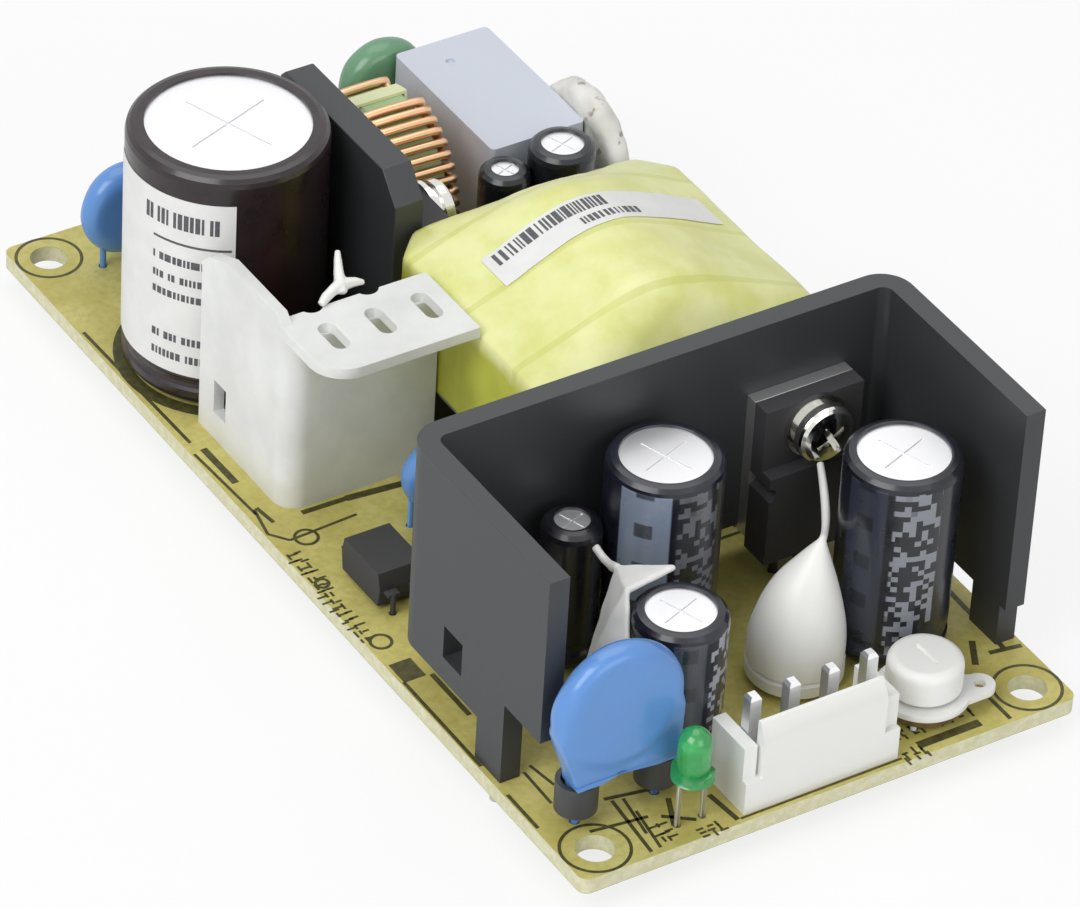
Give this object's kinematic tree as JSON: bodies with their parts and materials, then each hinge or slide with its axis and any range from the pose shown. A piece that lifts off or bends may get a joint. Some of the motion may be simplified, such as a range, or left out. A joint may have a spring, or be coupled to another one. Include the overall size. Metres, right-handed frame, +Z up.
{
  "type": "open frame power supply",
  "caption": "Open frame AC/DC power supply on a small rectangular circuit board, with folded black heatsink, taped transformer and plug-in output header.",
  "frame": {"origin": "centre of the four mounting holes, on the underside of the laminate", "axes": "+X across the board, +Y from the output end to the mains end, +Z up from the board to the components"},
  "size_m": [0.0508, 0.1016, 0.0294],
  "materials": {
    "laminate": "satin pale yellow laminate",
    "solder": "bright tin solder",
    "black_anodised": "satin black",
    "tinned_steel": "bright",
    "black_moulding": "matt",
    "bare_metal": "satin",
    "nickel": "bright",
    "can_aluminium": "satin",
    "sleeve_black": "gloss",
    "sleeve_brown": "gloss",
    "white_ferrite": "matt",
    "enamelled_wire": "gloss enamel",
    "white_glue": "satin",
    "white_nylon": "satin",
    "green_epoxy": "clear gloss",
    "blue_epoxy": "gloss",
    "black_tube": "satin",
    "ferrite": "matt",
    "yellow_tape": "satin film",
    "brown_epoxy": "gloss",
    "blue_grey_lacquer": "gloss",
    "green_coating": "satin",
    "pale_tape": "satin",
    "grey_case": "satin",
    "white_sleeve": "satin",
    "dark_green_epoxy": "gloss"
  },
  "bodies": {
    "supply": {"board": "laminate", "solder_joints": "solder", "output_heatsink": "black_anodised", "heatsink_pins": "tinned_steel", "output_rectifier": "black_moulding", "rectifier_plate": "bare_metal", "rectifier_screw": "nickel", "output_cap_1": "can_aluminium", "output_cap_1_sleeve": "sleeve_black", "output_cap_2": "can_aluminium", "output_cap_2_sleeve": "sleeve_black", "output_cap_3": "can_aluminium", "output_cap_3_sleeve": "sleeve_black", "output_cap_4": "can_aluminium", "output_cap_4_sleeve": "sleeve_black", "drum_core": "white_ferrite", "drum_winding": "enamelled_wire", "glue_dome": "white_glue", "glue_web": "white_glue", "output_connector": "white_nylon", "output_posts": "tinned_steel", "trimmer_base": "white_nylon", "led": "green_epoxy", "front_disc_capacitor": "blue_epoxy", "lead_tubes": "black_tube", "optocoupler": "black_moulding", "inner_disc_capacitor": "blue_epoxy", "transformer_core_near": "ferrite", "transformer_core_far": "ferrite", "transformer_bobbin": "black_moulding", "transformer_winding": "yellow_tape", "transformer_tape": "yellow_tape", "bulk_capacitor": "can_aluminium", "bulk_capacitor_sleeve": "sleeve_brown", "primary_heatsink": "black_anodised", "switch_transistor": "black_moulding", "switch_screw": "nickel", "cover": "white_nylon", "glue_cover": "white_glue", "snubber_capacitor": "brown_epoxy", "snubber_resistor": "blue_grey_lacquer", "choke_core": "green_coating", "choke_divider": "pale_tape", "choke_winding_near": "enamelled_wire", "choke_winding_far": "enamelled_wire", "film_capacitor": "grey_case", "filter_cap_1": "can_aluminium", "filter_cap_1_sleeve": "sleeve_black", "filter_cap_2": "can_aluminium", "filter_cap_2_sleeve": "sleeve_black", "varistor": "white_sleeve", "thermistor": "dark_green_epoxy", "bridge_rectifier": "black_moulding", "rear_disc_capacitor": "blue_epoxy", "fuse": "black_moulding", "input_connector": "white_nylon", "input_posts": "tinned_steel", "control_chip": "black_moulding", "chip_parts": "black_moulding"},
    "dial": {"trimmer_dial": "white_nylon"}
  },
  "joints": [
    {"name": "adjust_turn", "type": "hinge", "parent": "supply", "child": "dial", "pos_m": [0.0126, -0.0453, 0.0038], "axis": [0, 0, 1], "range_deg": [-105, 105]}
  ]
}
